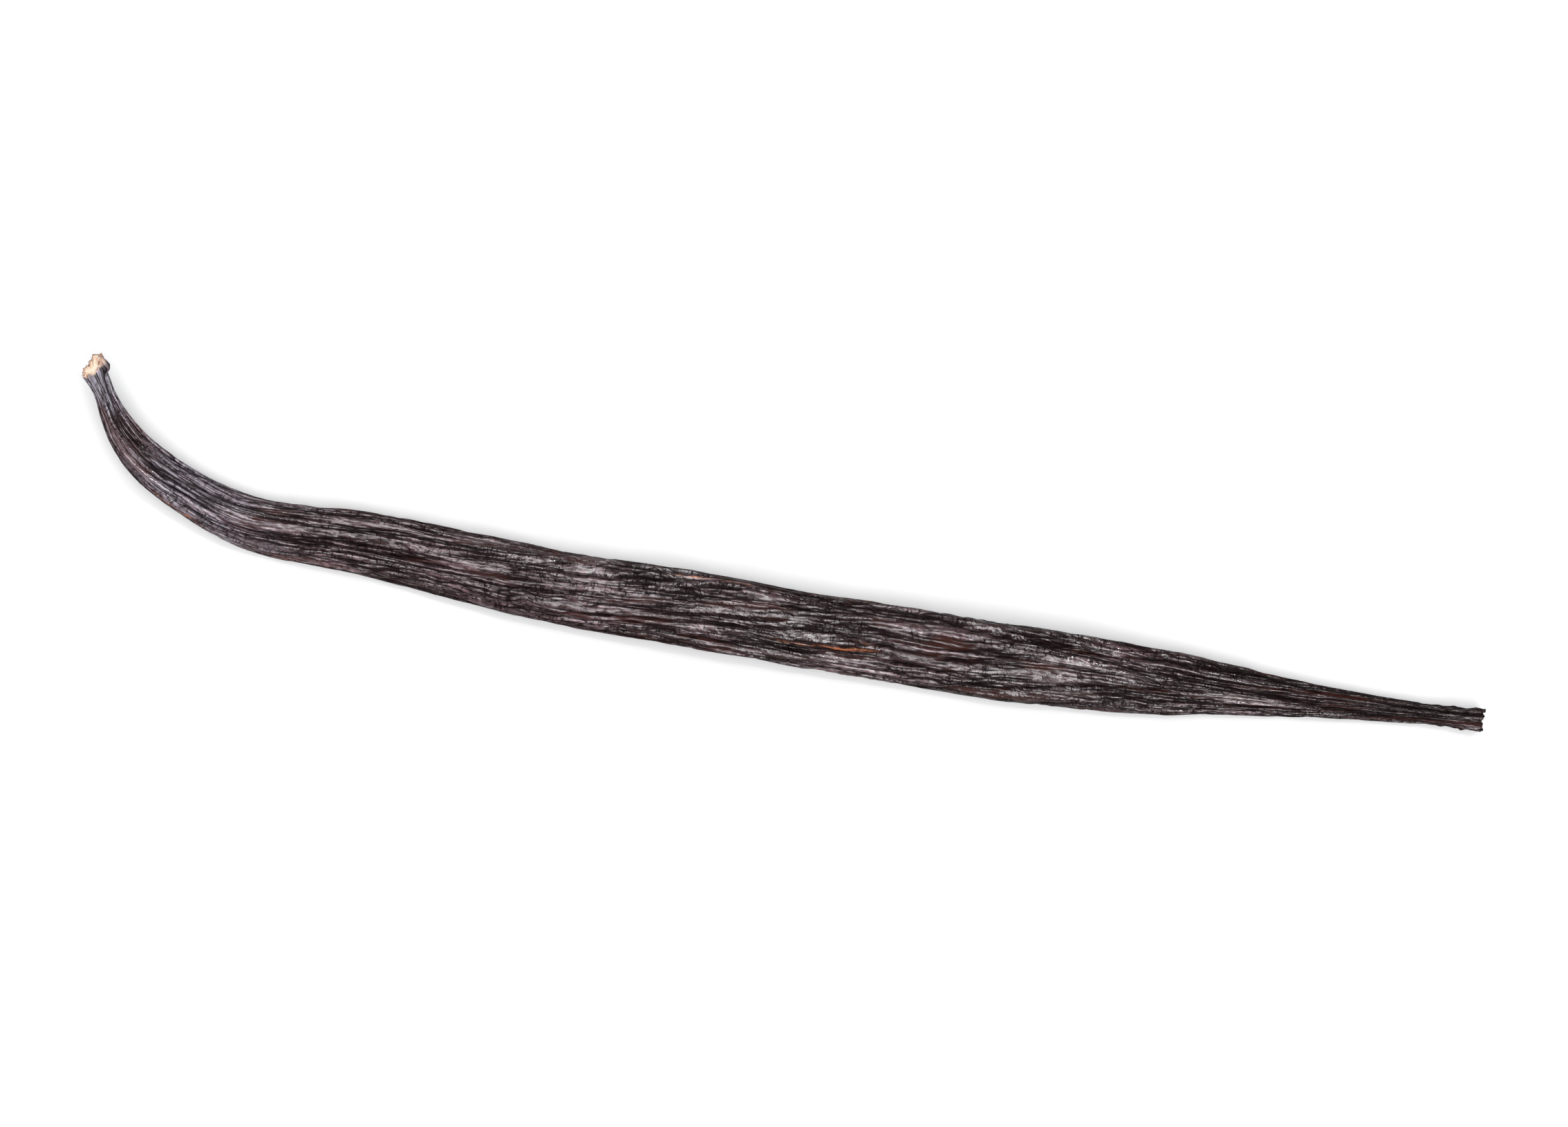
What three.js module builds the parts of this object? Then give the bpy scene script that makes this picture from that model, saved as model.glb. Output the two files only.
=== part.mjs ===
// One cured vanilla pod, lying on a table: a long, flattened and slightly twisted fruit with a hooked stem,
// a wide belly and a thin neck that ends in the small ribbed tip where the blossom sat.
// The frame: +X along the belly towards the tip, +Y to the side that the stem hooks to, +Z up, z = 0 the table.
// The pod is first turned as a straight solid along its own length, then flattened, folded and laid along its spine.
import * as THREE from "three";
import { mergeVertices } from "three/addons/utils/BufferGeometryUtils.js";

// Driving dimensions, in millimetres. "at" and "s" are distances along the pod from the cut stem.
const POD_LENGTH = 160;
const WIDTHS = [
  { at: 0, width: 2.75 }, // rim of the cut stem
  { at: 3.2, width: 2.0 }, // thinnest place of the stem
  { at: 5.7, width: 2.55 },
  { at: 8, width: 3.2 },
  { at: 12, width: 3.95 }, // shoulder
  { at: 20, width: 4.8 },
  { at: 28, width: 5.6 },
  { at: 45, width: 6.8 },
  { at: 61, width: 7.5 },
  { at: 90, width: 7.7 },
  { at: 108, width: 8.0 }, // widest place of the belly
  { at: 124, width: 6.5 },
  { at: 134, width: 4.5 },
  { at: 146, width: 2.8 },
  { at: 154, width: 2.1 }, // thinnest place of the neck
  { at: POD_LENGTH, width: 2.35 }, // rim of the tip
];
const BELLY_HEIGHT_SHARE = 0.66; // height over width of the flattened belly
const STEM_HEIGHT_SHARE = 0.92; // the same where the pod is thin and nearly round
const FLATTENED_WIDTH = { from: 2.5, to: 6.5 }; // widths between which the section turns from round to flat

// How the spine bends in plan, in degrees to the left, each bend spread smoothly over its stretch.
const STEM_HEADING = -63;
const BENDS = [
  { from: 2, to: 18, turn: 40.7 }, // the hook
  { from: 18, to: 30, turn: 23.1 },
  { from: 32, to: 44, turn: -4.5 },
  { from: 52, to: 64, turn: 3.2 },
  { from: 100, to: 116, turn: 1.9 },
  { from: 134, to: 150, turn: 1.4 },
];

// How far the underside stands off the table, and how deep the soft belly is pressed flat where it lies.
const STEM_RISE = { height: 6.5, reach: 27 };
const TIP_RISE = { height: 1.3, reach: 22 };
const BELLY_ARCH = { height: 0.65, from: 60, to: 100 };
const PRESSED_FLAT = 0.32;

// Long folds: count round the pod, depth as a share of the radius, and how far each wanders round, in turns.
const FOLDS = [
  { count: 3, depth: 0.035, phase: 0.1, wander: 0.1, wave: 95 },
  { count: 5, depth: 0.03, phase: 0.55, wander: 0.16, wave: 61 },
  { count: 9, depth: 0.032, phase: 0.3, wander: 0.22, wave: 37 },
];
const TWIST_TURNS = 0.25; // how far the folds wind round from stem to tip
const BELLY_ROLL = { angle: 9, wave: 118, phase: 0.6 }; // the flat belly rocks from side to side, in degrees

// The two ends. The stem's cut slants to the outside of the hook, and faces the given degrees above it.
const STEM_CUT = { slant: 0.75, facing: 20, lobes: 3, depth: 0.1, fade: 2.8, recess: 0.28 };
const TIP = { lobes: 6, depth: 0.11, jag: 0.13, fade: 2.6, recess: 0.45 };

// Mesh fineness.
const SIDES = 48;
const STEP_LENGTH = 2.0; // along the belly
const END_STEP_LENGTH = 0.65; // along the last few millimetres at either end
const END_REACH = 5;
const SPINE_STEP = 0.5;

const TURN = 2 * Math.PI;
const { smoothstep, lerp, degToRad } = THREE.MathUtils;

// Width of the pod at s: a smooth curve that passes through the stations without overshooting.
function widthAt(s) {
  const last = WIDTHS.length - 1;
  let i = 0;
  while (i < last - 1 && s > WIDTHS[i + 1].at) i += 1;
  const slope = (k) => (WIDTHS[k + 1].width - WIDTHS[k].width) / (WIDTHS[k + 1].at - WIDTHS[k].at);
  const tangent = (k) => {
    if (k === 0) return slope(0);
    if (k === last) return slope(last - 1);
    const [before, after] = [slope(k - 1), slope(k)];
    return before * after <= 0 ? 0 : (2 * before * after) / (before + after);
  };
  const [a, b] = [WIDTHS[i], WIDTHS[i + 1]];
  const span = b.at - a.at;
  const t = THREE.MathUtils.clamp((s - a.at) / span, 0, 1);
  const [t2, t3] = [t * t, t * t * t];
  return (
    (2 * t3 - 3 * t2 + 1) * a.width +
    (t3 - 2 * t2 + t) * span * tangent(i) +
    (3 * t2 - 2 * t3) * b.width +
    (t3 - t2) * span * tangent(i + 1)
  );
}

function heightShareAt(s) {
  const flatness = smoothstep(widthAt(s), FLATTENED_WIDTH.from, FLATTENED_WIDTH.to);
  return lerp(STEM_HEIGHT_SHARE, BELLY_HEIGHT_SHARE, flatness);
}

function rollAt(s) {
  return degToRad(BELLY_ROLL.angle) * Math.sin(TURN * (s / BELLY_ROLL.wave + BELLY_ROLL.phase));
}

// Height of the section's centre over its lowest point, with the section rolled.
function halfHeightAt(s) {
  const halfWidth = widthAt(s) / 2;
  const roll = rollAt(s);
  return Math.hypot(halfWidth * Math.sin(roll), halfWidth * heightShareAt(s) * Math.cos(roll));
}

function standOffAt(s) {
  const stem = STEM_RISE.height * Math.max(0, 1 - s / STEM_RISE.reach) ** 2;
  const tip = TIP_RISE.height * Math.max(0, 1 - (POD_LENGTH - s) / TIP_RISE.reach) ** 2;
  const along = THREE.MathUtils.clamp((s - BELLY_ARCH.from) / (BELLY_ARCH.to - BELLY_ARCH.from), 0, 1);
  return stem + tip + BELLY_ARCH.height * Math.sin(Math.PI * along) ** 2;
}

function headingAt(s) {
  const turned = BENDS.reduce((sum, bend) => sum + bend.turn * smoothstep(s, bend.from, bend.to), STEM_HEADING);
  return degToRad(turned);
}

// The spine, stepped out along its heading, each point lifted so that the section below it just meets the table.
function spineCurve() {
  const points = [];
  const at = new THREE.Vector2(0, 0);
  for (let s = 0; s <= POD_LENGTH; s += SPINE_STEP) {
    points.push(new THREE.Vector3(at.x, at.y, halfHeightAt(s) - PRESSED_FLAT + standOffAt(s)));
    const heading = headingAt(s + SPINE_STEP / 2);
    at.x += SPINE_STEP * Math.cos(heading);
    at.y += SPINE_STEP * Math.sin(heading);
  }
  return new THREE.CatmullRomCurve3(points);
}

// The straight pod's outline, from the middle of the cut stem out to its rim, along the skin, round the tip's
// rim and back in to the middle of the tip's hollow. x is the radius and y the distance along the pod.
function straightOutline() {
  const stemRadius = widthAt(0) / 2;
  const tipRadius = widthAt(POD_LENGTH) / 2;
  const outline = [
    new THREE.Vector2(0, STEM_CUT.recess * 0.6),
    new THREE.Vector2(stemRadius * 0.45, STEM_CUT.recess),
    new THREE.Vector2(stemRadius * 0.82, STEM_CUT.recess * 0.5),
  ];
  let s = 0;
  while (s < POD_LENGTH - END_STEP_LENGTH / 2) {
    outline.push(new THREE.Vector2(widthAt(s) / 2, s));
    const fromEnd = Math.min(s, POD_LENGTH - s);
    s += lerp(END_STEP_LENGTH, STEP_LENGTH, smoothstep(fromEnd, END_REACH / 2, END_REACH * 2));
  }
  outline.push(
    new THREE.Vector2(tipRadius, POD_LENGTH),
    new THREE.Vector2(tipRadius * 0.8, POD_LENGTH - TIP.recess * 0.2),
    new THREE.Vector2(tipRadius * 0.5, POD_LENGTH - TIP.recess),
    new THREE.Vector2(0, POD_LENGTH - TIP.recess * 0.8),
  );
  return outline;
}

// How close s lies to either end: 1 there, falling to 0 where the end's own form has faded out.
function nearEnds(s) {
  return [Math.max(0, 1 - s / STEM_CUT.fade), Math.max(0, 1 - (POD_LENGTH - s) / TIP.fade)];
}

// How much the folds and the two ends' lobes push the skin out at an angle round the pod.
function foldAt(angle, s) {
  const wound = angle - TURN * TWIST_TURNS * (s / POD_LENGTH);
  let push = 1;
  for (const fold of FOLDS) {
    const wandered = fold.wander * Math.sin(TURN * (s / fold.wave + fold.phase));
    push += fold.depth * Math.cos(fold.count * (wound + TURN * fold.phase) + TURN * wandered);
  }
  const [nearStem, nearTip] = nearEnds(s);
  const stemLobes = STEM_CUT.depth * nearStem * Math.cos(STEM_CUT.lobes * angle);
  return push + stemLobes + TIP.depth * nearTip * Math.cos(TIP.lobes * wound);
}

// Shifts along the pod that slant the stem's cut towards the outside of the hook and make the tip's rim uneven.
function endShiftAt(angle, s, share) {
  const [nearStem, nearTip] = nearEnds(s);
  const slant = STEM_CUT.slant * nearStem * Math.cos(angle - degToRad(STEM_CUT.facing));
  return share * (slant + TIP.jag * nearTip * Math.cos(TIP.lobes * angle));
}

// Flattens, folds and rolls the straight pod's sections, and lays them along the spine.
function layAlongSpine(geometry) {
  const spine = spineCurve();
  const position = geometry.getAttribute("position");
  for (let i = 0; i < position.count; i += 1) {
    const [x, s, z] = [position.getX(i), position.getY(i), position.getZ(i)];
    const angle = Math.atan2(z, x);
    const share = Math.hypot(x, z) / (widthAt(s) / 2);
    const push = foldAt(angle, s);
    const [side, up] = [x * push, z * push * heightShareAt(s)];
    const roll = rollAt(s);
    const rolledSide = side * Math.cos(roll) - up * Math.sin(roll);
    const rolledUp = side * Math.sin(roll) + up * Math.cos(roll);
    const along = THREE.MathUtils.clamp(s / POD_LENGTH, 0, 1);
    const tangent = spine.getTangentAt(along);
    const right = new THREE.Vector3(tangent.y, -tangent.x, 0).normalize();
    const above = new THREE.Vector3().crossVectors(right, tangent);
    const point = spine
      .getPointAt(along)
      .addScaledVector(right, rolledSide)
      .addScaledVector(above, rolledUp)
      .addScaledVector(tangent, endShiftAt(angle, s, share));
    position.setXYZ(i, point.x, point.y, Math.max(0, point.z));
  }
}

// Puts the origin under the middle of the pod's own box.
function centreOnTable(geometry) {
  geometry.computeBoundingBox();
  const middle = geometry.boundingBox.getCenter(new THREE.Vector3());
  geometry.translate(-middle.x, -middle.y, 0);
}

function podGeometry() {
  const turned = new THREE.LatheGeometry(straightOutline(), SIDES);
  turned.deleteAttribute("normal");
  turned.deleteAttribute("uv");
  layAlongSpine(turned);
  centreOnTable(turned);
  const closed = mergeVertices(turned);
  closed.computeVertexNormals();
  return closed;
}

const curedSkin = new THREE.MeshStandardMaterial({ color: 0x3a2c28, roughness: 0.45, metalness: 0 });

const pod = new THREE.Mesh(podGeometry(), curedSkin);
pod.name = "vanilla_pod";

const vanillaPod = new THREE.Group();
vanillaPod.add(pod);

export default vanillaPod;
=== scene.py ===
"""The looks of one cured vanilla pod lying on a pale table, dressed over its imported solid.

The whole pod is one surface: a section carried along a bent spine, with the deep folds, the furrows and the
fine wrinkles of cured skin worked out as arrays. Lengths are millimetres while a shape is worked out, and
metres in the mesh. "s" is the distance along the pod from the cut stem, and "turns" is the way round it.
"""

import math

import bpy
import numpy as np
from bpy.props import FloatProperty, FloatVectorProperty, IntProperty, PointerProperty
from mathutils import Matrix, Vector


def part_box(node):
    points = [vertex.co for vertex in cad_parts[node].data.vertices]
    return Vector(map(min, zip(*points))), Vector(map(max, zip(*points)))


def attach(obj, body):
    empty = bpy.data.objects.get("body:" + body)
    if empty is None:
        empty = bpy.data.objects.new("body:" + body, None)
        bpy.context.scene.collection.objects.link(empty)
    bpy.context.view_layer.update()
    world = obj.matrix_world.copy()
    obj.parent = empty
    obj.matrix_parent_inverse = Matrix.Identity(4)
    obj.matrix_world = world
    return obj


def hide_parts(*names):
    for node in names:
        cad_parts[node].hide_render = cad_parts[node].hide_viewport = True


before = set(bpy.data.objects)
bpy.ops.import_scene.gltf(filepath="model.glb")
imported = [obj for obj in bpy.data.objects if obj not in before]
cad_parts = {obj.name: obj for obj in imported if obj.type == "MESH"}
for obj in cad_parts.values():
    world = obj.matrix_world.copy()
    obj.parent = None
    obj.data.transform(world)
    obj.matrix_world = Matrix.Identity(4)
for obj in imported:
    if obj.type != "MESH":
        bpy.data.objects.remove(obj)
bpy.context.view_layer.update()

bl_info = {
    "name": "Cured Vanilla Pod",
    "version": (1, 0, 0),
    "blender": (4, 5, 0),
    "location": "3D Viewport > Sidebar > Vanilla",
    "description": "Builds a wrinkled, oily vanilla pod and the pale table that it lies on",
    "category": "Add Mesh",
}

MM = 0.001
TURN = 2 * math.pi
NODE = "vanilla_pod"

# The form of the solid, in millimetres and degrees.
POD_LENGTH = 160
WIDTHS = (  # distance from the cut stem, width there
    (0, 2.75),
    (3.2, 2.0),
    (5.7, 2.55),
    (8, 3.2),
    (12, 3.95),
    (20, 4.8),
    (28, 5.6),
    (45, 6.8),
    (61, 7.5),
    (90, 7.7),
    (108, 8.0),
    (124, 6.5),
    (134, 4.5),
    (146, 2.8),
    (154, 2.1),
    (POD_LENGTH, 2.35),
)
BELLY_HEIGHT_SHARE = 0.66
STEM_HEIGHT_SHARE = 0.92
FLATTENED_WIDTH = (2.5, 6.5)  # from round to flat
STEM_HEADING = -63
BENDS = (  # from, to, turn to the left
    (2, 18, 40.7),
    (18, 30, 23.1),
    (32, 44, -4.5),
    (52, 64, 3.2),
    (100, 116, 1.9),
    (134, 150, 1.4),
)
STEM_RISE = (6.5, 27)  # height, reach
TIP_RISE = (1.3, 22)
BELLY_ARCH = (0.65, 60, 100)  # height, from, to
PRESSED_FLAT = 0.32
FOLDS = (  # count round the pod, depth as a share of the radius, phase, wander in turns, wave
    (3, 0.035, 0.1, 0.1, 95),
    (5, 0.03, 0.55, 0.16, 61),
    (9, 0.032, 0.3, 0.22, 37),
)
TWIST_TURNS = 0.25
BELLY_ROLL = (9, 118, 0.6)  # angle, wave, phase
STEM_CUT = {"slant": 0.75, "facing": 20, "lobes": 3, "depth": 0.1, "fade": 2.8, "recess": 0.28}
TIP = {"lobes": 6, "depth": 0.11, "jag": 0.13, "fade": 2.6, "recess": 0.45}

# The wrinkles, in families of creases that run along the pod with plates of skin between them: how many round
# it, how far they swing in spacings, the length of their waves and the width of a crease in millimetres, and
# their depth as a share of the deepest wrinkle's. Width and depth are those on the belly, whose girth is
# given, and fall towards the ends.
FURROWS = {"count": 5, "swing": 0.5, "wave": 24, "width": 0.2, "depth": 1.0}
WRINKLES = (
    {"count": 17, "swing": 0.9, "wave": 16, "width": 0.125, "depth": 1.0},
    {"count": 31, "swing": 0.9, "wave": 11, "width": 0.087, "depth": 0.55},
    {"count": 53, "swing": 0.8, "wave": 7, "width": 0.08, "depth": 0.42},
)
PLATE_LENGTH = 9  # over which a plate between two creases keeps its tilt and its tone
KINK_LENGTH = 1.8  # of the shortest waves of every crease
CREASE_SHARPNESS = 1.4  # power of the distance by which a crease falls off: 2 is round, 1 is pointed
BELLY_GIRTH = 20
# How much wider and steadier than elsewhere the creases are on the blossom end, and where along the pod that
# begins and where it is full.
TIP_GAPE = {"furrows": 1.3, "wrinkles": -0.1}
TIP_GAPE_REACH = (130, 147)

# Bare fibres of the flesh. Some lie in a family of creases of their own, and a few are long and single.
FIBRES = {"count": 23, "swing": 0.8, "wave": 16, "width": 0.06}
LONG_FIBRES = (  # from, to, turns round the unwound pod
    (70, 83, 0.27),
    (13, 21, 0.06),
)
LONG_FIBRE_WIDTH = 0.11
LONG_FIBRE_WAVES = (  # swing in turns, length over one radian
    (0.008, 1.9),
    (0.005, 0.7),
)

# Noise that lifts the skin, as layers: cells round the pod, their length along it, share of the height, and
# how far its seed lies from the first.
SWELLINGS = ((6, 13, 1, 2), (17, 4, 0.4, 3))
TIP_KNOBS = ((9, 1.1, 1, 4), (15, 0.7, 0.6, 10))
TIP_KNOBS_REACH = (POD_LENGTH - 9, POD_LENGTH - 2)

# The torn ends. A dark knob of dried sap sits on the rim of the cut: turns round the pod, place along it,
# reach and height.
SAP_KNOB = (0.43, 0.6, 0.5, 0.8)
RAGGED = 0.28  # how far the rims of both ends are torn up and down
TORN = 0.16  # height of the torn pith, and of the dried inside of the blossom end

# Grain that the material draws, finer than the mesh: its length and width in millimetres, and its detail. The
# real hairlines and flecks are about 0.1 mm wide, too fine to show, so they are drawn as coarse as this.
GRAIN = {
    "hairs": (9, 0.5, 2),  # hairline wrinkles along the pod
    "cracks": (0.8, 1.3, 2),  # faint cracks across it
    "flecks": (0.9, 0.2, 1),  # fibres that break up the film of oil
    "beads": (0.6, 0.3, 2),  # beads of oil
    "patches": (11, 1.2, 3),  # stretches that are smooth or rusty
    "blotches": (0.7, 0.5, 2),  # on the pith, the worn stem and the inside of the blossom end
}

# The mesh: points round the pod, rows along its skin, which lie twice as close near the ends, and rings
# across each end.
POINTS_ROUND = 282
SKIN_ROWS = 335
END_RINGS = 9
CLOSE_ROWS = (8, 14)  # how far from the cut stem and from the tip the rows reach their full spacing
UNROLLED_RADIUS = 3.25  # radius of the straight cylinder on which the skin's patterns are laid


def linear(code):
    """The linear RGB of an sRGB hex colour."""
    levels = [int(code[i : i + 2], 16) / 255 for i in (1, 3, 5)]
    return [v / 12.92 if v <= 0.04045 else ((v + 0.055) / 1.055) ** 2.4 for v in levels]


def smooth(value, low, high):
    """Rises from 0 at low to 1 at high as 3t^2 - 2t^3."""
    t = np.clip((value - low) / (high - low), 0, 1)
    return t * t * (3 - 2 * t)


class VanillaSkin(bpy.types.PropertyGroup):
    """Relief and colours of the cured skin."""

    furrow_depth: FloatProperty(
        name="Furrow depth",
        description="Depth of the few long furrows between the folds",
        default=0.5 * MM,
        min=0,
        unit="LENGTH",
    )
    wrinkle_depth: FloatProperty(
        name="Wrinkle depth",
        description="Depth of the wrinkles between the ridges; the finer ones are shallower",
        default=0.3 * MM,
        min=0,
        unit="LENGTH",
    )
    plate_lean: FloatProperty(
        name="Plate lean",
        description="How far the plates of skin between the wrinkles lean, as a share of the wrinkle's depth",
        default=1.3,
        min=0,
    )
    swelling_height: FloatProperty(
        name="Swelling height",
        description="Height of the low swellings over the seeds inside",
        default=0.12 * MM,
        min=0,
        unit="LENGTH",
    )
    knob_height: FloatProperty(
        name="Knob height",
        description="Height of the knobs on the shrunken blossom end",
        default=0.2 * MM,
        min=0,
        unit="LENGTH",
    )
    seed: IntProperty(name="Seed", description="Draws other wrinkles", default=7, min=0)
    # Near black: the furrows' own dark skin, darkened further as painted shade where furrows and wrinkles lie
    # in shade.
    furrow_shade_colour: FloatVectorProperty(
        name="Furrows",
        description="Skin at the bottom of the furrows",
        subtype="COLOR",
        default=linear("#090505"),
        min=0,
        max=1,
    )
    rust_colour: FloatVectorProperty(
        name="Rusty furrows",
        description="Furrows where the red-brown flesh shows",
        subtype="COLOR",
        default=linear("#2e1610"),
        min=0,
        max=1,
    )
    skin_colour: FloatVectorProperty(
        name="Skin",
        description="Oily skin on the ridges",
        subtype="COLOR",
        default=linear("#221615"),
        min=0,
        max=1,
    )
    # Lilac-grey: dried skin, and in part a painted sheen on pale plates and on the stem.
    dry_and_sheen_colour: FloatVectorProperty(
        name="Dry skin",
        description="Paler skin where the oil has dried",
        subtype="COLOR",
        default=linear("#604d52"),
        min=0,
        max=1,
    )
    fibre_colour: FloatVectorProperty(
        name="Fibres",
        description="Orange-brown fibres that show along some wrinkles",
        subtype="COLOR",
        default=linear("#7d4c32"),
        min=0,
        max=1,
    )


class VanillaEnds(bpy.types.PropertyGroup):
    """Colours of the cut stem and of the blossom end."""

    pith_colour: FloatVectorProperty(
        name="Pith",
        description="Pale middle of the cut stem",
        subtype="COLOR",
        default=linear("#c9baa6"),
        min=0,
        max=1,
    )
    # Pale grey-lilac: skin worn pale next to the cut, and in part a painted sheen on the stem.
    worn_rim_sheen_colour: FloatVectorProperty(
        name="Worn rim",
        description="Skin worn pale next to the cut",
        subtype="COLOR",
        default=linear("#8e8d97"),
        min=0,
        max=1,
    )
    cut_edge_colour: FloatVectorProperty(
        name="Cut edge",
        description="Orange-brown wood round the pith",
        subtype="COLOR",
        default=linear("#8e6042"),
        min=0,
        max=1,
    )
    tip_colour: FloatVectorProperty(
        name="Blossom end",
        description="Dried inside of the blossom end",
        subtype="COLOR",
        default=linear("#3a2318"),
        min=0,
        max=1,
    )


class VanillaStage(bpy.types.PropertyGroup):
    """The table, the lights and the camera."""

    table_colour: FloatVectorProperty(
        name="Table",
        description="Matt pale table",
        subtype="COLOR",
        default=linear("#a8aaa9"),
        min=0,
        max=1,
    )
    table_size: FloatProperty(
        name="Table size", description="Side of the table", default=6, min=0.5, unit="LENGTH"
    )
    softbox_power: FloatProperty(
        name="Softbox", description="Soft light overhead", default=39, min=0, subtype="POWER"
    )
    side_power: FloatProperty(
        name="Side softbox",
        description="Soft light from the lower right, which the raised stem reflects",
        default=7,
        min=0,
        subtype="POWER",
    )
    sparkle_power: FloatProperty(
        name="Sparkle light",
        description="Small light that draws glints on the oily skin",
        default=2.4,
        min=0,
        subtype="POWER",
    )
    room_strength: FloatProperty(
        name="Room", description="Light from the white room all round", default=0.6, min=0
    )
    camera_turn: FloatProperty(
        name="Camera turn",
        description="How far the camera is turned over the pod",
        default=math.radians(9),
        subtype="ANGLE",
    )
    frame_share: FloatProperty(
        name="Frame share",
        description="Share of the picture's width that the pod takes",
        default=0.9,
        min=0.1,
        max=1,
        subtype="FACTOR",
    )


# ---- The form of the pod ----


def width_at(s):
    """Width of the pod: cubic pieces through the stations, each with the harmonic mean of its neighbours'
    slopes, and level where those slopes differ in sign, so that the curve never overshoots."""
    at, width = np.array(WIDTHS, float).T
    slope = np.diff(width) / np.diff(at)
    inner = np.zeros(len(at))
    product = slope[:-1] * slope[1:]
    rising = product > 0
    inner[1:-1][rising] = 2 * product[rising] / (slope[:-1] + slope[1:])[rising]
    inner[0] = slope[0]
    inner[-1] = slope[-1]
    i = np.clip(np.searchsorted(at, s, side="right") - 1, 0, len(at) - 2)
    span = np.diff(at)[i]
    t = np.clip((s - at[i]) / span, 0, 1)
    return (
        (2 * t**3 - 3 * t**2 + 1) * width[i]
        + (t**3 - 2 * t**2 + t) * span * inner[i]
        + (3 * t**2 - 2 * t**3) * width[i + 1]
        + (t**3 - t**2) * span * inner[i + 1]
    )


def height_share_at(s):
    """Height over width of the section: nearly round where thin, flat in the belly."""
    flatness = smooth(width_at(s), *FLATTENED_WIDTH)
    return STEM_HEIGHT_SHARE + (BELLY_HEIGHT_SHARE - STEM_HEIGHT_SHARE) * flatness


def roll_at(s):
    """How far the section rocks from side to side, a sine along the pod, in radians."""
    angle, wave, phase = BELLY_ROLL
    return math.radians(angle) * np.sin(TURN * (s / wave + phase))


def lift_at(s):
    """Height of the spine: half the rolled section, less what is pressed flat, plus the stand-off of the
    hooked stem, the tip and the arch of the belly."""
    half = width_at(s) / 2
    roll = roll_at(s)
    section = np.hypot(half * np.sin(roll), half * height_share_at(s) * np.cos(roll))
    stem = STEM_RISE[0] * np.maximum(0, 1 - s / STEM_RISE[1]) ** 2
    tip = TIP_RISE[0] * np.maximum(0, 1 - (POD_LENGTH - s) / TIP_RISE[1]) ** 2
    height, start, end = BELLY_ARCH
    arch = height * np.sin(math.pi * np.clip((s - start) / (end - start), 0, 1)) ** 2
    return section - PRESSED_FLAT + stem + tip + arch


def spine_at(s):
    """Points and unit tangents of the spine: its heading, the sum of the bends, is stepped out in plan."""
    step = 0.1
    fine = np.arange(0, POD_LENGTH + step, step)
    middle = fine[:-1] + step / 2
    heading = np.radians(STEM_HEADING + sum(turn * smooth(middle, a, b) for a, b, turn in BENDS))
    x = np.concatenate([[0], np.cumsum(step * np.cos(heading))])
    y = np.concatenate([[0], np.cumsum(step * np.sin(heading))])
    line = np.stack([x, y, lift_at(fine)], axis=1)
    ahead = np.gradient(line, step, axis=0)
    ahead /= np.linalg.norm(ahead, axis=1, keepdims=True)
    points = np.stack([np.interp(s, fine, line[:, k]) for k in range(3)], axis=1)
    tangents = np.stack([np.interp(s, fine, ahead[:, k]) for k in range(3)], axis=1)
    return points, tangents / np.linalg.norm(tangents, axis=1, keepdims=True)


def near_ends(s):
    """How close each section lies to either end: 1 there, falling evenly to 0 where the end's form fades."""
    return np.maximum(0, 1 - s / STEM_CUT["fade"]), np.maximum(0, 1 - (POD_LENGTH - s) / TIP["fade"])


def fold_push(angle, s):
    """Radius over its mean: one plus a cosine for each set of folds, wound round by the twist, and the lobes
    of the two ends near their rims."""
    wound = angle - TURN * TWIST_TURNS * s / POD_LENGTH
    push = 1
    for count, depth, phase, wander, wave in FOLDS:
        wandered = wander * np.sin(TURN * (s / wave + phase))
        push = push + depth * np.cos(count * (wound + TURN * phase) + TURN * wandered)
    near_stem, near_tip = near_ends(s)
    push = push + STEM_CUT["depth"] * near_stem * np.cos(STEM_CUT["lobes"] * angle)
    return push + TIP["depth"] * near_tip * np.cos(TIP["lobes"] * wound)


def end_shift(angle, s, share):
    """Shift along the pod that slants the stem's cut to the outside of the hook, makes the tip's rim uneven
    with a cosine, and tears both rims by noise that falls off with the fourth power of nearness."""
    near_stem, near_tip = near_ends(s)
    slant = STEM_CUT["slant"] * near_stem * np.cos(angle - math.radians(STEM_CUT["facing"]))
    ragged = RAGGED * (near_stem**4 + near_tip**4) * skin_noise(angle / TURN, s, 13, 20, seed=1)
    return share * (slant + ragged + TIP["jag"] * near_tip * np.cos(TIP["lobes"] * angle))


def section_rows():
    """Rows of the grid from the middle of the cut stem, over the skin, to the middle of the tip's hollow: the
    distance along the pod and the share of the radius of each row. The cut is dished inside its rim, as a
    sine, and in its middle, and the blossom end is hollow."""
    inward = np.linspace(0, 1, END_RINGS + 1)[1:]
    fine = np.linspace(0, POD_LENGTH, 10 * SKIN_ROWS)
    closeness = 1 + smooth(fine, 1.5 * CLOSE_ROWS[0], CLOSE_ROWS[0] / 2)
    closeness += smooth(POD_LENGTH - fine, 1.5 * CLOSE_ROWS[1], CLOSE_ROWS[1] / 2)
    passed = np.cumsum(closeness)
    skin = np.interp(np.linspace(passed[0], passed[-1], SKIN_ROWS), passed, fine)
    stem_dish = STEM_CUT["recess"] * np.sin(math.pi * (1 - inward) ** 0.7) ** 0.8
    stem_dish += STEM_CUT["recess"] * 0.6 * (1 - inward) ** 2
    tip_dish = TIP["recess"] * smooth(1 - inward, 0, 0.7)
    s = np.concatenate([stem_dish[:-1], skin, (POD_LENGTH - tip_dish)[:-1][::-1]])
    share = np.concatenate([inward[:-1], np.ones(len(skin)), inward[:-1][::-1]])
    return s, share


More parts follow.
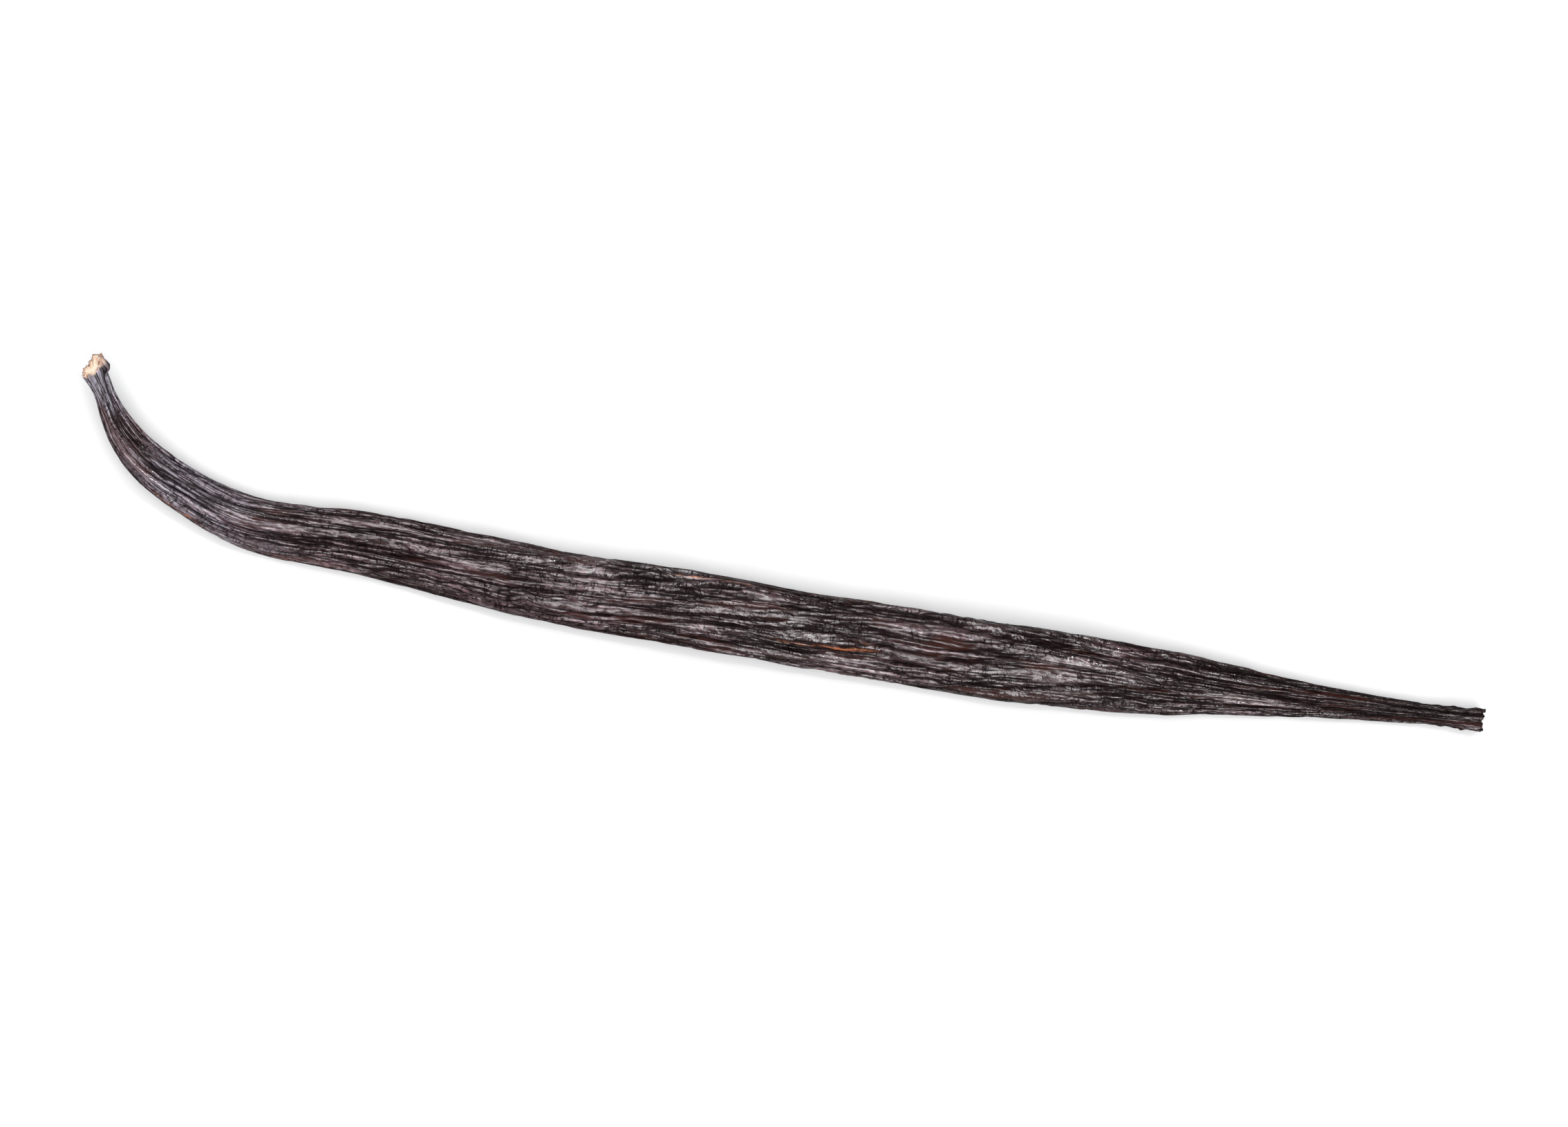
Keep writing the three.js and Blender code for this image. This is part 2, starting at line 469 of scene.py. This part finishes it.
def pod_surface(s, share, angle):
    """Points of the unwrinkled pod: each section is an ellipse pushed out by the folds, rolled, and set
    across the spine between its level right-hand side and the direction above it."""
    points, tangents = spine_at(s)
    right = np.stack([tangents[:, 1], -tangents[:, 0], np.zeros(len(s))], axis=1)
    right /= np.linalg.norm(right, axis=1, keepdims=True)
    above = np.cross(right, tangents)
    s, share = s[:, None], share[:, None]
    radius = width_at(s) / 2 * share * fold_push(angle, s)
    side = radius * np.cos(angle)
    up = radius * np.sin(angle) * height_share_at(s)
    roll = roll_at(s)
    rolled_side = side * np.cos(roll) - up * np.sin(roll)
    rolled_up = side * np.sin(roll) + up * np.cos(roll)
    return (
        points[:, None]
        + rolled_side[..., None] * right[:, None]
        + rolled_up[..., None] * above[:, None]
        + end_shift(angle, s, share)[..., None] * tangents[:, None]
    )


# ---- The relief of the skin ----


def skin_noise(turns, s, cells, cell_length, seed):
    """Smooth noise that closes round the pod: a random slope at each crossing of a lattice on the unrolled
    skin, blended between the four nearest crossings by 6t^5 - 15t^4 + 10t^3. It runs from about -1 to 1."""
    x = (turns % 1) * cells
    y = (s + cell_length) / cell_length
    rows = int(np.max(y)) + 2
    direction = np.random.default_rng(seed).uniform(0, TURN, (rows, cells))
    column, row = np.floor(x).astype(int), np.floor(y).astype(int)
    dx, dy = x - column, y - row
    blend_x, blend_y = (t**3 * (t * (6 * t - 15) + 10) for t in (dx, dy))
    corner = {}
    for across in (0, 1):
        for along in (0, 1):
            slope = direction[row + along, (column + across) % cells]
            corner[across, along] = np.cos(slope) * (dx - across) + np.sin(slope) * (dy - along)
    near = corner[0, 0] + blend_x * (corner[1, 0] - corner[0, 0])
    far = corner[0, 1] + blend_x * (corner[1, 1] - corner[0, 1])
    return 1.6 * (near + blend_y * (far - near))


def layered_noise(turns, s, layers, seed):
    """The sum of some layers of noise, each with its own share."""
    return sum(
        share * skin_noise(turns, s, cells, length, seed + own) for cells, length, share, own in layers
    )


def creases(turns, s, girth, family, seed, gape=0):
    """A family of creases, which lie where a phase is a whole number: so many times the way round, swung
    from side to side by three layers of noise. The phase over its own slope is the distance from the nearest
    crease. A crease fades in and out along the pod, so that it seems to join its neighbours, and fades where
    it would run across the pod or its spacing comes down to its width. gape makes creases wider and steadier.
    Gives four arrays: the creases, 1 at the bottom and falling sharply to the sides; the plates, 0 at a crease
    and rising evenly to 1 in the middle; their tilt, a slope from side to side of its own for each; and their
    tone, from -1 to 1, which also changes along them."""
    count, wave = family["count"], family["wave"]

    def phase_at(turns, s):
        swung = skin_noise(turns, s, count // 2, wave, seed)
        swung = swung + 0.45 * skin_noise(turns, s, count, wave / 2.5, seed + 1)
        swung = swung + 0.15 * skin_noise(turns, s, count, KINK_LENGTH, seed + 5)
        return count * turns + family["swing"] * swung

    step = 0.001
    phase = phase_at(turns, s)
    slope_round = (phase_at(turns + step, s) - phase) / step / girth
    slope_along = (phase_at(turns, s + step) - phase) / step
    least_slope = 0.3 * count / girth
    across = phase % 1
    off = np.minimum(across, 1 - across)
    distance = off / np.maximum(np.hypot(slope_round, slope_along), least_slope)
    width = family["width"] * np.sqrt(girth / BELLY_GIRTH) * (1 + gape)
    fading = skin_noise(turns, s, count // 2, 1.3 * wave, seed + 2)
    strength = smooth(fading + gape, -0.5, 0.2)
    strength = strength * slope_round**2 / (slope_round**2 + 6 * slope_along**2)
    strength = strength * smooth(girth / count / width, 1.5, 4)
    middle = (np.floor(phase) + 0.5) / count
    lean, tone = (skin_noise(middle, s, count, PLATE_LENGTH, seed + extra) for extra in (3, 4))
    return (
        strength * np.exp(-((distance / width) ** CREASE_SHARPNESS)),
        1 - strength * (1 - 2 * off) ** 2,
        strength * lean * (across - 0.5) * smooth(off, 0, 0.15),
        strength * tone,
    )


def wander(turns, s, seed):
    """How far the whole skin is wound round the pod, in turns: the twist, and two slow waves of noise."""
    slow = 0.03 * skin_noise(turns, s, 3, 33, seed) + 0.01 * skin_noise(turns, s, 7, 11, seed + 1)
    return TWIST_TURNS * s / POD_LENGTH + slow


def bare_fibres(turns, s, girth, slender, seed):
    """Where a bare fibre shows: in some of the creases of its own family, and along the few long ones, each
    of which swings with the sum of two sines and falls off to the sides as a bell curve."""
    shown = smooth(skin_noise(turns, s, 15, 20, seed + 6), 0.5, 0.8)
    fibres = shown * slender * creases(turns, s, girth, FIBRES, seed + 7)[0]
    for start, end, place in LONG_FIBRES:
        swung = turns - place - sum(swing * np.sin(s / length) for swing, length in LONG_FIBRE_WAVES)
        window = smooth(s, start, start + 3) * smooth(s, end, end - 3)
        fibres = np.maximum(fibres, window * np.exp(-((swung * girth / LONG_FIBRE_WIDTH) ** 2)))
    return fibres


def skin_relief(skin, s, turns):
    """The height of the cured skin over the plain folds, in millimetres, and masks from 0 to 1: how open each
    point lies, by which the material paints the creases dark as shade; how pale its plate is, a tone that
    changes at random and partly stands for a painted sheen; how dry it is; where a bare fibre shows; and how
    worn the stem is, partly wear and partly a painted sheen. Deep furrows, then ever finer families of
    wrinkles, are cut into the skin, and the plates between them lean to either side. Low swellings, from the
    seeds inside, a knobbly blossom end and a knob of dried sap are added. The stem is worn pale next to the
    cut, and less so on the shoulder behind it, both partly as a painted sheen."""
    radius = width_at(s) / 2
    girth = math.pi * radius * (1 + height_share_at(s))
    seed = skin.seed
    slender = smooth(radius, 0.6, 2.6)
    near_tip = smooth(s, *TIP_KNOBS_REACH)
    near_cut = smooth(s, 4, 1)
    place, at, reach, rise = SAP_KNOB
    sap = np.exp(-(((turns - place) * girth) ** 2 + (s - at) ** 2) / reach**2)
    height = skin.swelling_height / MM * slender * layered_noise(turns, s, SWELLINGS, seed)
    height = height + skin.knob_height / MM * near_tip * layered_noise(turns, s, TIP_KNOBS, seed) + rise * sap

    open_share = np.ones_like(s)
    pale = np.zeros_like(s)
    gaping = smooth(s, *TIP_GAPE_REACH)
    for number, family in enumerate((FURROWS, *WRINKLES)):
        deepest = skin.wrinkle_depth if number else skin.furrow_depth
        depth = family["depth"] * deepest / MM * np.sqrt(girth / BELLY_GIRTH)
        depth = depth * (1 - 0.75 * near_tip - 0.4 * near_cut)
        gape = TIP_GAPE["wrinkles" if number else "furrows"] * gaping
        line, plate, lean, tone = creases(turns, s, girth, family, seed + 20 + 10 * number, gape)
        height = height + depth * (0.25 * plate + skin.plate_lean * lean - 0.8 * line)
        # Where the creases lie, the material paints the skin dark as shade.
        open_share = open_share * (1 - line)
        pale = pale + tone

    # The skin is drier towards the stem, and evenly pale near it; the paler stem and plates partly stand
    # for a painted sheen.
    dryness = skin_noise(turns, s, 5, 13, seed + 5) + 0.75 - 1.2 * s / POD_LENGTH
    near_stem = smooth(s, 42, 8)
    pale = smooth(pale, -0.9, 0.9) * (1 - 0.6 * near_stem) + 0.5 * near_stem
    rubbed = skin_noise(turns, s, 8, 3, seed + 8)
    # Next to the cut the stem is worn pale and carries a painted sheen; a fainter painted sheen lies on the
    # shoulder behind it.
    shoulder = smooth(s + 3 * rubbed, 9, 15) * smooth(s + 5 * rubbed, 32, 18)
    worn = smooth(s + 2.5 * rubbed, 7, 1.5) + 0.35 * shoulder
    return height, {
        "open": open_share,
        "pale": pale,
        "dry": smooth(dryness, -0.4, 0.6),
        "fibre": bare_fibres(turns, s, girth, slender, seed),
        "worn": np.clip(worn, 0, 1) * (1 - sap),
    }


def outward_normals(points):
    """Unit normals of a grid of points: the cross product of its slopes along the rows and round them."""
    along = np.gradient(points, axis=0)
    round_it = np.roll(points, -1, 1) - np.roll(points, 1, 1)
    normals = np.cross(along, round_it)
    return normals / (np.linalg.norm(normals, axis=2, keepdims=True) + 1e-12)


def grid_faces(rows, columns):
    """Quads between neighbouring rows of a grid that closes round, and a fan to a middle point at each
    end."""
    index = np.arange(rows * columns).reshape(rows, columns)
    after = np.roll(index, -1, 1)
    quads = np.stack([index[:-1], index[1:], after[1:], after[:-1]], axis=-1).reshape(-1, 4)
    first, last = rows * columns, rows * columns + 1
    start = np.stack([np.full(columns, first), index[0], after[0]], axis=-1)
    end = np.stack([np.full(columns, last), after[-1], index[-1]], axis=-1)
    return quads.tolist() + start.tolist() + end.tolist()


def set_attribute(mesh, name, kind, values):
    """Stores one value for each vertex under a name that the material reads."""
    field = "vector" if kind == "FLOAT_VECTOR" else "value"
    mesh.attributes.new(name, kind, "POINT").data.foreach_set(field, np.ravel(values).astype(np.float32))


def pod_mesh(skin):
    """The wrinkled pod: the plain surface moved along its normals by the relief, pressed flat on the table,
    and centred on the solid's box. Its skin is also laid, unrolled, on a straight cylinder, slightly waved,
    for the material's grain to follow. Three more masks tell the ends' finish: the pith with its torn rim,
    the woody ring round it, and the hollow of the blossom end."""
    s_row, share_row = section_rows()
    s = np.repeat(np.clip(s_row, 0, POD_LENGTH)[:, None], POINTS_ROUND, axis=1)
    share = np.repeat(share_row[:, None], POINTS_ROUND, axis=1)
    turns = np.broadcast_to(np.arange(POINTS_ROUND) / POINTS_ROUND, s.shape)
    plain = pod_surface(s_row, share_row, TURN * (turns + wander(turns, s, skin.seed)))
    relief, masks = skin_relief(skin, s, turns)
    on_skin = smooth(share, 0.55, 1)
    torn = TORN * share * skin_noise(turns, 1.3 * share, 11, 0.4, skin.seed + 11)
    relief = relief * on_skin + torn * (1 - on_skin)
    points = plain + relief[..., None] * outward_normals(plain)
    middle = (plain.min((0, 1)) + plain.max((0, 1))) / 2
    low, high = (np.array(corner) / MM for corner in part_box(NODE))
    points[..., :2] += ((low + high) / 2 - middle)[:2]
    points[..., 2] = np.maximum(points[..., 2], 0)

    waved = TURN * (turns + 0.014 * skin_noise(turns, s, 17, 2.6, skin.seed + 9))
    cross = [UNROLLED_RADIUS * share * turned for turned in (np.cos(waved), np.sin(waved))]
    unrolled = np.stack([s, *cross], axis=-1)
    ends = [[0, 0, 0], [POD_LENGTH, 0, 0]]
    rows, columns = share.shape
    middles = [points[0].mean(0)[None], points[-1].mean(0)[None]]
    vertices = np.concatenate([points.reshape(-1, 3), *middles])
    mesh = bpy.data.meshes.new("vanilla_skin")
    mesh.from_pydata((vertices * MM).tolist(), [], grid_faces(rows, columns))
    set_attribute(mesh, "unrolled", "FLOAT_VECTOR", np.concatenate([unrolled.reshape(-1, 3), ends]))
    rim = 0.7 * smooth(s, 0.3, 0)
    masks["pith"] = np.maximum(smooth(share, 0.97, 0.84) * smooth(s, 3, 1), rim)
    masks["wood"] = smooth(share + 0.3 * skin_noise(turns, share, 5, 0.8, skin.seed + 12), 0.3, 0.9)
    masks["hollow"] = smooth(share, 1, 0.7) * smooth(s, POD_LENGTH - 8, POD_LENGTH - 5)
    for name, mask in masks.items():
        set_attribute(mesh, name, "FLOAT", np.append(mask.ravel(), [mask[0].mean(), mask[-1].mean()]))
    mesh.polygons.foreach_set("use_smooth", np.ones(len(mesh.polygons), bool))
    mesh.update()
    return mesh


# ---- Materials ----


def add_node(tree, kind, inputs=None, stops=None, **settings):
    """Adds one shader node with its settings, and gives each input a value or a link from another node's
    socket. stops are the positions and colours of a colour ramp, those at 0 and 1 first."""
    made = tree.nodes.new(kind)
    for name, value in settings.items():
        setattr(made, name, value)
    for name, value in (inputs or {}).items():
        if isinstance(value, bpy.types.NodeSocket):
            tree.links.new(value, made.inputs[name])
        else:
            made.inputs[name].default_value = value
    for place, colour in stops or ():
        ramp = made.color_ramp.elements
        stop = ramp[place] if place in (0, 1) else ramp.new(place)
        stop.color = (*colour, 1)
    return made


def new_material(name):
    """An empty material with one surface shader."""
    material = bpy.data.materials.new(name)
    material.use_nodes = True
    tree = material.node_tree
    tree.nodes.clear()
    shader = add_node(tree, "ShaderNodeBsdfPrincipled")
    add_node(tree, "ShaderNodeOutputMaterial", {"Surface": shader.outputs[0]})
    return material, tree, shader


def cured_skin_material(skin, ends):
    """Cured vanilla skin: sweated and sun-dried, so leathery, dark and oily. The oil reflects the room in a
    grey sheen on the open crests, the wrinkles stay black-brown, their own dark skin with painted shade, and
    a few bare fibres show orange. The cut stem shows dry, pale pith in a ring of orange-brown wood, and the
    skin next to it is worn grey, partly with a painted sheen."""
    material, tree, shader = new_material("cured_vanilla_skin")
    unrolled = add_node(tree, "ShaderNodeAttribute", attribute_name="unrolled").outputs["Vector"]
    mask = {
        name: add_node(tree, "ShaderNodeAttribute", attribute_name=name).outputs["Fac"]
        for name in ("open", "pale", "dry", "fibre", "worn", "pith", "wood", "hollow")
    }

    # Grain along the pod, as long and as wide in millimetres as given. The shift of its place keeps apart
    # grains of nearly one size.
    grain = {}
    for name, (length, width, detail) in GRAIN.items():
        scale = (1 / length, 1 / width, 1 / width)
        placed = add_node(
            tree,
            "ShaderNodeMapping",
            {"Vector": unrolled, "Location": (width, width, width), "Scale": scale},
        )
        noise = add_node(
            tree, "ShaderNodeTexNoise", {"Vector": placed.outputs[0], "Scale": 1, "Detail": detail}
        )
        grain[name] = add_node(
            tree,
            "ShaderNodeMapRange",
            {"Value": noise.outputs[0], "From Min": 0.33, "From Max": 0.67},
            interpolation_type="SMOOTHSTEP",
        ).outputs[0]

    # Hairline wrinkles along the pod, and faint cracks across it: dark where their grain crosses its middle
    # value, out to the reach given, as painted shade in grooves too fine for the mesh. Some plates have stayed
    # smooth.
    smoothed = add_node(
        tree,
        "ShaderNodeMapRange",
        {"Value": grain["patches"], "From Min": 0.4, "From Max": 0.9, "To Max": 0.85},
    )
    plates = mask["open"]
    dark, light = (0, 0, 0), (1, 1, 1)
    for name, reach in (("hairs", 0.23), ("cracks", 0.17)):
        lines = add_node(
            tree,
            "ShaderNodeValToRGB",
            {"Fac": grain[name]},
            stops=((0, light), (1, light), (0.5 - reach, light), (0.5, dark), (0.5 + reach, light)),
        )
        shown = add_node(
            tree,
            "ShaderNodeMix",
            {0: smoothed.outputs[0], 6: lines.outputs[0], 7: (*light, 1)},
            data_type="RGBA",
        )
        plates = add_node(
            tree, "ShaderNodeMath", {0: plates, 1: shown.outputs[2]}, operation="MULTIPLY"
        ).outputs[0]

    # Colour: from the creases, near black with painted shade and rusty in places, to the skin, dry in places
    # and paler on some plates as a painted sheen, then over it the worn stem with its painted sheen, the bare
    # fibres and the two ends.
    dry = add_node(tree, "ShaderNodeMath", {0: mask["dry"], 1: mask["pale"]}, operation="MULTIPLY")
    dry = add_node(tree, "ShaderNodeMath", {0: dry.outputs[0], 1: grain["beads"]}, operation="MULTIPLY")
    mottled = add_node(tree, "ShaderNodeMapRange", {"Value": grain["blotches"], "To Min": 0.3, "To Max": 1.1})
    worn = add_node(tree, "ShaderNodeMath", {0: mask["worn"], 1: plates}, operation="MULTIPLY")
    worn = add_node(tree, "ShaderNodeMath", {0: worn.outputs[0], 1: mottled.outputs[0]}, operation="MULTIPLY")
    bare = add_node(tree, "ShaderNodeMath", {0: mask["fibre"], 1: grain["flecks"]}, operation="MULTIPLY")
    woody = add_node(tree, "ShaderNodeMath", {0: mask["wood"], 1: grain["blotches"]}, operation="MULTIPLY")
    rusty = add_node(tree, "ShaderNodeMapRange", {"Value": grain["patches"], "From Min": 0.8, "To Max": 0.6})
    blends = {
        "rust": (rusty.outputs[0], (*skin.furrow_shade_colour, 1), (*skin.rust_colour, 1)),
        "pith": (woody.outputs[0], (*ends.pith_colour, 1), (*ends.cut_edge_colour, 1)),
        "hollow": (grain["blotches"], (*skin.furrow_shade_colour, 1), (*ends.tip_colour, 1)),
        "skin": (dry.outputs[0], (*skin.skin_colour, 1), (*skin.dry_and_sheen_colour, 1)),
    }
    for name, (share, under, over) in blends.items():
        blends[name] = add_node(
            tree, "ShaderNodeMix", {0: share, 6: under, 7: over}, data_type="RGBA"
        ).outputs[2]
    body = blends["rust"]
    layers = (
        (plates, blends["skin"]),
        (worn.outputs[0], (*ends.worn_rim_sheen_colour, 1)),
        (bare.outputs[0], (*skin.fibre_colour, 1)),
        (mask["pith"], blends["pith"]),
        (mask["hollow"], blends["hollow"]),
    )
    for share, over in layers:
        body = add_node(tree, "ShaderNodeMix", {0: share, 6: body, 7: over}, data_type="RGBA").outputs[2]

    # Relief too fine for the mesh, its height in millimetres: fibres, and beads of oil, higher on oily skin.
    beading = add_node(tree, "ShaderNodeMapRange", {"Value": mask["dry"], "To Min": 0.045, "To Max": 0.008})
    beads = add_node(
        tree, "ShaderNodeMath", {0: grain["beads"], 1: beading.outputs[0]}, operation="MULTIPLY"
    )
    height = add_node(
        tree, "ShaderNodeMath", {0: grain["flecks"], 1: 0.01, 2: beads.outputs[0]}, operation="MULTIPLY_ADD"
    )
    bump = add_node(
        tree, "ShaderNodeBump", {"Height": height.outputs[0], "Distance": MM, "Strength": 1}
    ).outputs[0]

    # The oil is a thin coat on the open plates, thicker on the pale ones and broken along them. The ends are
    # dull.
    oil = add_node(
        tree,
        "ShaderNodeMapRange",
        {"Value": plates, "From Min": 0.15, "From Max": 0.65, "To Min": 0.02, "To Max": 1},
    ).outputs[0]
    for share, least in ((mask["pale"], 0.6), (grain["flecks"], 0.2), (grain["patches"], 0.85)):
        weight = add_node(tree, "ShaderNodeMapRange", {"Value": share, "To Min": least, "To Max": 1})
        oil = add_node(
            tree, "ShaderNodeMath", {0: oil, 1: weight.outputs[0]}, operation="MULTIPLY"
        ).outputs[0]
    dull = add_node(tree, "ShaderNodeMath", {0: mask["pith"], 1: mask["hollow"]}, operation="MAXIMUM")
    oil = add_node(tree, "ShaderNodeMix", {"Factor": dull.outputs[0], "A": oil, "B": 0.05})
    roughness = add_node(
        tree, "ShaderNodeMapRange", {"Value": mask["dry"], "To Min": 0.38, "To Max": 0.6}
    )
    tree.links.new(body, shader.inputs["Base Color"])
    tree.links.new(roughness.outputs[0], shader.inputs["Roughness"])
    tree.links.new(bump, shader.inputs["Normal"])
    tree.links.new(bump, shader.inputs["Coat Normal"])
    tree.links.new(oil.outputs[0], shader.inputs["Coat Weight"])
    # Plant oil has an IOR of 1.47. The coat's is raised to give the strong sheen of the crests, and the skin
    # under it hardly shines by itself.
    shader.inputs["IOR"].default_value = 1.47
    shader.inputs["Specular IOR Level"].default_value = 0.02
    shader.inputs["Coat IOR"].default_value = 1.7
    shader.inputs["Coat Roughness"].default_value = 0.1
    return material


def matt_table_material(colour):
    """A sheet of matt white card: flat and unglazed, so it only takes soft shadows."""
    material, tree, shader = new_material("matt_white_card")
    grain = add_node(
        tree,
        "ShaderNodeTexNoise",
        {"Vector": add_node(tree, "ShaderNodeTexCoord").outputs["Object"], "Scale": 400, "Detail": 2},
    ).outputs[0]
    paler = [min(1, 1.02 * c) for c in colour]
    mixed = add_node(
        tree, "ShaderNodeMix", {0: grain, 6: (*colour, 1), 7: (*paler, 1)}, data_type="RGBA"
    ).outputs[2]
    tree.links.new(mixed, shader.inputs["Base Color"])
    shader.inputs["Roughness"].default_value = 0.9
    shader.inputs["Specular IOR Level"].default_value = 0.1
    return material


# ---- Operators ----


def add_object(name, data):
    """Links a new object, at the origin, to the scene."""
    made = bpy.data.objects.new(name, data)
    bpy.context.scene.collection.objects.link(made)
    return made


def add_area_light(name, place, sizes, power, colour):
    """A rectangular lamp that faces the origin."""
    data = bpy.data.lights.new(name, "AREA")
    data.shape = "RECTANGLE"
    data.size, data.size_y = sizes
    data.energy = power
    data.color = colour
    lamp = add_object(name, data)
    lamp.location = place
    lamp.rotation_euler = lamp.location.to_track_quat("Z", "Y").to_euler()
    return lamp


class VANILLA_OT_pod(bpy.types.Operator):
    """Builds the wrinkled pod in place of its solid"""

    bl_idname = "vanilla.pod"
    bl_label = "Vanilla Pod"

    def execute(self, context):
        skin = context.scene.vanilla_skin
        pod = add_object("cured_vanilla_pod", pod_mesh(skin))
        pod.data.materials.append(cured_skin_material(skin, context.scene.vanilla_ends))
        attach(pod, "root")
        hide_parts(NODE)
        return {"FINISHED"}


class VANILLA_OT_stage(bpy.types.Operator):
    """Lays the pale table and sets up the lights and the camera over the pod"""

    bl_idname = "vanilla.stage"
    bl_label = "Table, Lights and Camera"

    def execute(self, context):
        scene = context.scene
        stage = scene.vanilla_stage
        half = stage.table_size / 2
        mesh = bpy.data.meshes.new("table_top")
        under = -0.02 * MM  # just below the pod's flat underside
        corners = [(-half, -half, under), (half, -half, under), (half, half, under), (-half, half, under)]
        mesh.from_pydata(corners, [], [(0, 1, 2, 3)])
        table = add_object("table_top", mesh)
        mesh.materials.append(matt_table_material(stage.table_colour))

        add_area_light("softbox", (-0.02, 0.05, 1), (0.7, 2.6), stage.softbox_power, (1, 0.965, 0.99))
        add_area_light("side_softbox", (0.45, -0.5, 0.75), (0.8, 0.8), stage.side_power, (1, 0.98, 1))
        add_area_light("sparkle", (0.32, 0.22, 0.9), (0.05, 0.05), stage.sparkle_power, (1, 1, 1))
        world = bpy.data.worlds.new("pale_room")
        world.use_nodes = True
        background = world.node_tree.nodes["Background"]
        background.inputs["Color"].default_value = (*linear("#f2f1f4"), 1)
        background.inputs["Strength"].default_value = stage.room_strength
        scene.world = world
        scene.view_settings.view_transform = "Standard"

        lens = bpy.data.cameras.new("overhead_camera")
        lens.lens = 120
        low, high = (np.array(corner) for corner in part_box(NODE))
        seen = (high - low)[0] * math.cos(stage.camera_turn) / stage.frame_share
        camera = add_object("overhead_camera", lens)
        camera.location = (0, 0, seen * lens.lens / lens.sensor_width)
        camera.rotation_euler = (0, 0, stage.camera_turn)
        scene.camera = camera
        return {"FINISHED"}


class VANILLA_PT_panel(bpy.types.Panel):
    """Sizes, colours and buttons in the sidebar"""

    bl_label = "Vanilla Pod"
    bl_space_type = "VIEW_3D"
    bl_region_type = "UI"
    bl_category = "Vanilla"

    def draw(self, context):
        for group in (context.scene.vanilla_skin, context.scene.vanilla_ends, context.scene.vanilla_stage):
            box = self.layout.box()
            for name in group.__annotations__:
                box.prop(group, name)
        self.layout.operator("vanilla.pod")
        self.layout.operator("vanilla.stage")


CLASSES = (
    VanillaSkin,
    VanillaEnds,
    VanillaStage,
    VANILLA_OT_pod,
    VANILLA_OT_stage,
    VANILLA_PT_panel,
)


def register():
    for item in CLASSES:
        bpy.utils.register_class(item)
    bpy.types.Scene.vanilla_skin = PointerProperty(type=VanillaSkin)
    bpy.types.Scene.vanilla_ends = PointerProperty(type=VanillaEnds)
    bpy.types.Scene.vanilla_stage = PointerProperty(type=VanillaStage)


def unregister():
    del bpy.types.Scene.vanilla_stage
    del bpy.types.Scene.vanilla_ends
    del bpy.types.Scene.vanilla_skin
    for item in reversed(CLASSES):
        bpy.utils.unregister_class(item)


def main():
    """Registers the classes, and builds the pod and its stage."""
    register()
    bpy.ops.vanilla.pod()
    bpy.ops.vanilla.stage()


if __name__ == "__main__":
    main()
